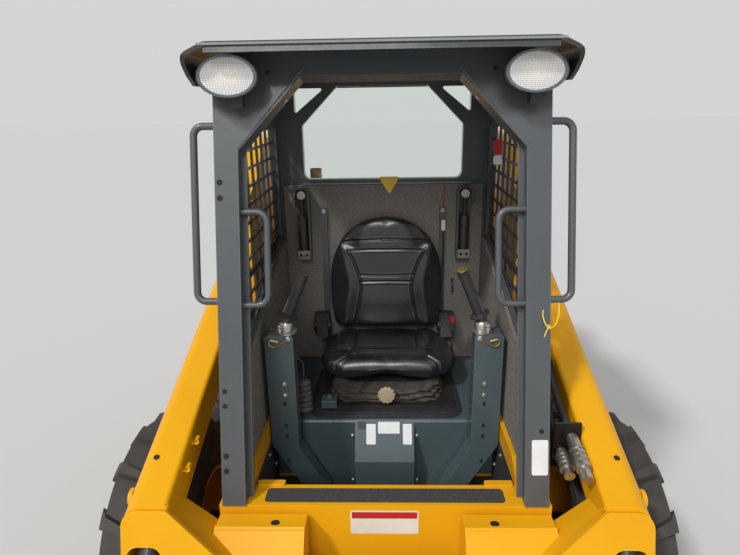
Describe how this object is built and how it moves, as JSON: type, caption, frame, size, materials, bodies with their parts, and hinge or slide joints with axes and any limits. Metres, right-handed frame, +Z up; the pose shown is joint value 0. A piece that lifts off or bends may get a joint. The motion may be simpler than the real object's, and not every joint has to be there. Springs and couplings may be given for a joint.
{
  "type": "skid steer loader",
  "caption": "Yellow compact skid steer loader with an open cab, side screens, radial lift boom and a bare quick coupler",
  "frame": {"origin": "on the floor, below the middle of the machine's bounding box", "axes": "+X to the operator's left, +Y to the rear, +Z up; the coupler faces -Y"},
  "size_m": [1.66, 2.38, 1.93],
  "materials": {
    "yellow_paint": "semi-gloss golden yellow paint",
    "grey_paint": "satin slate grey paint",
    "black_paint": "satin black paint",
    "zinc_steel": "zinc-plated steel",
    "foam_liner": "speckled foam liner",
    "lamp_red": "clear red moulded lens",
    "lamp_lens": "clear moulded lens in a pale rim",
    "dark_metal": "dark cast and sheet steel",
    "cylinder_paint": "black paint",
    "rod_chrome": "polished chrome",
    "vinyl": "black seat vinyl",
    "grip_rubber": "black rubber",
    "pane": "clear pane",
    "tyre_rubber": "black tyre rubber",
    "rim_paint": "golden yellow paint"
  },
  "bodies": {
    "chassis": {"chassis_tub": "yellow_paint", "upright_left": "yellow_paint", "upright_right": "yellow_paint", "rear_deck": "yellow_paint", "cab_front_frame": "grey_paint", "cab_side_left": "grey_paint", "cab_side_right": "grey_paint", "side_screen_left": "grey_paint", "side_screen_right": "grey_paint", "cab_rear_frame": "grey_paint", "cab_roof": "grey_paint", "grab_handles": "grey_paint", "seat_box": "grey_paint", "control_towers": "grey_paint", "cab_struts": "grey_paint", "axle_housings": "black_paint", "door_hinges": "black_paint", "seat_suspension": "black_paint", "cab_liners": "foam_liner", "tail_lamps": "lamp_red", "front_lamps": "lamp_lens", "engine_block": "dark_metal", "exhaust_pipe": "dark_metal", "seat_cushion": "vinyl", "seat_back": "vinyl", "control_levers": "grip_rubber", "rear_window": "pane"},
    "boom": {"boom_arm_left": "yellow_paint", "boom_arm_right": "yellow_paint", "boom_pivot_bosses": "yellow_paint", "boom_cross": "yellow_paint", "quick_couplers": "zinc_steel"},
    "coupler": {"coupler_plate": "black_paint", "coupler_levers": "zinc_steel"},
    "rear_door": {"rear_door": "yellow_paint"},
    "hood": {"hood": "yellow_paint"},
    "wheel_front_left": {"tyre_front_left": "tyre_rubber", "rim_front_left": "rim_paint"},
    "wheel_rear_left": {"tyre_rear_left": "tyre_rubber", "rim_rear_left": "rim_paint"},
    "wheel_front_right": {"tyre_front_right": "tyre_rubber", "rim_front_right": "rim_paint"},
    "wheel_rear_right": {"tyre_rear_right": "tyre_rubber", "rim_rear_right": "rim_paint"},
    "lift_barrel_left": {"lift_barrel_left": "cylinder_paint"},
    "lift_rod_left": {"lift_rod_left": "rod_chrome"},
    "lift_barrel_right": {"lift_barrel_right": "cylinder_paint"},
    "lift_rod_right": {"lift_rod_right": "rod_chrome"},
    "tilt_barrel_left": {"tilt_barrel_left": "cylinder_paint"},
    "tilt_rod_left": {"tilt_rod_left": "rod_chrome"},
    "tilt_barrel_right": {"tilt_barrel_right": "cylinder_paint"},
    "tilt_rod_right": {"tilt_rod_right": "rod_chrome"}
  },
  "joints": [
    {"name": "boom_lift", "type": "hinge", "parent": "chassis", "child": "boom", "pos_m": [0, 0.95, 1.45], "axis": [-1, 0, 0], "range_deg": [0, 60]},
    {"name": "coupler_tilt", "type": "hinge", "parent": "boom", "child": "coupler", "pos_m": [0, -1.075, 0.235], "axis": [-1, 0, 0], "range_deg": [-95, 22]},
    {"name": "lift_barrel_left", "type": "hinge", "parent": "chassis", "child": "lift_barrel_left", "pos_m": [0.6075, 0.96, 0.64], "axis": [-1, 0, 0], "range_deg": [-2, 32]},
    {"name": "lift_rod_left", "type": "slide", "parent": "lift_barrel_left", "child": "lift_rod_left", "axis": [0, -0.866, 0.5001], "range_m": [-0.002, 0.59]},
    {"name": "tilt_barrel_left", "type": "hinge", "parent": "boom", "child": "tilt_barrel_left", "pos_m": [0.6075, -0.85, 0.79], "axis": [-1, 0, 0], "range_deg": [-5, 2]},
    {"name": "tilt_rod_left", "type": "slide", "parent": "tilt_barrel_left", "child": "tilt_rod_left", "axis": [0, -0.594, -0.8045], "range_m": [-0.055, 0.233]},
    {"name": "lift_barrel_right", "type": "hinge", "parent": "chassis", "child": "lift_barrel_right", "pos_m": [-0.6075, 0.96, 0.64], "axis": [-1, 0, 0], "range_deg": [-2, 32]},
    {"name": "lift_rod_right", "type": "slide", "parent": "lift_barrel_right", "child": "lift_rod_right", "axis": [0, -0.866, 0.5001], "range_m": [-0.002, 0.59]},
    {"name": "tilt_barrel_right", "type": "hinge", "parent": "boom", "child": "tilt_barrel_right", "pos_m": [-0.6075, -0.85, 0.79], "axis": [-1, 0, 0], "range_deg": [-5, 2]},
    {"name": "tilt_rod_right", "type": "slide", "parent": "tilt_barrel_right", "child": "tilt_rod_right", "axis": [0, -0.594, -0.8045], "range_m": [-0.055, 0.233]},
    {"name": "wheel_front_left", "type": "hinge", "parent": "chassis", "child": "wheel_front_left", "pos_m": [0.695, -0.52, 0.392], "axis": [1, 0, 0], "continuous": true},
    {"name": "wheel_rear_left", "type": "hinge", "parent": "chassis", "child": "wheel_rear_left", "pos_m": [0.695, 0.48, 0.392], "axis": [1, 0, 0], "continuous": true},
    {"name": "wheel_front_right", "type": "hinge", "parent": "chassis", "child": "wheel_front_right", "pos_m": [-0.695, -0.52, 0.392], "axis": [1, 0, 0], "continuous": true},
    {"name": "wheel_rear_right", "type": "hinge", "parent": "chassis", "child": "wheel_rear_right", "pos_m": [-0.695, 0.48, 0.392], "axis": [1, 0, 0], "continuous": true},
    {"name": "rear_door_swing", "type": "hinge", "parent": "chassis", "child": "rear_door", "pos_m": [-0.478, 1.165, 0.8], "axis": [0, 0, 1], "range_deg": [0, 110]},
    {"name": "hood_lift", "type": "hinge", "parent": "chassis", "child": "hood", "pos_m": [0, 0.161, 1.2963], "axis": [1, 0, 0], "range_deg": [0, 60]}
  ],
  "couplings": [
    {"joint": "lift_barrel_left", "follows": "boom_lift", "ratio": 0.498},
    {"joint": "lift_rod_left", "follows": "boom_lift", "m_per_rad": 0.5605},
    {"joint": "tilt_barrel_left", "follows": "coupler_tilt", "ratio": 0.04},
    {"joint": "tilt_rod_left", "follows": "coupler_tilt", "m_per_rad": -0.1395},
    {"joint": "lift_barrel_right", "follows": "boom_lift", "ratio": 0.498},
    {"joint": "lift_rod_right", "follows": "boom_lift", "m_per_rad": 0.5605},
    {"joint": "tilt_barrel_right", "follows": "coupler_tilt", "ratio": 0.04},
    {"joint": "tilt_rod_right", "follows": "coupler_tilt", "m_per_rad": -0.1395}
  ]
}
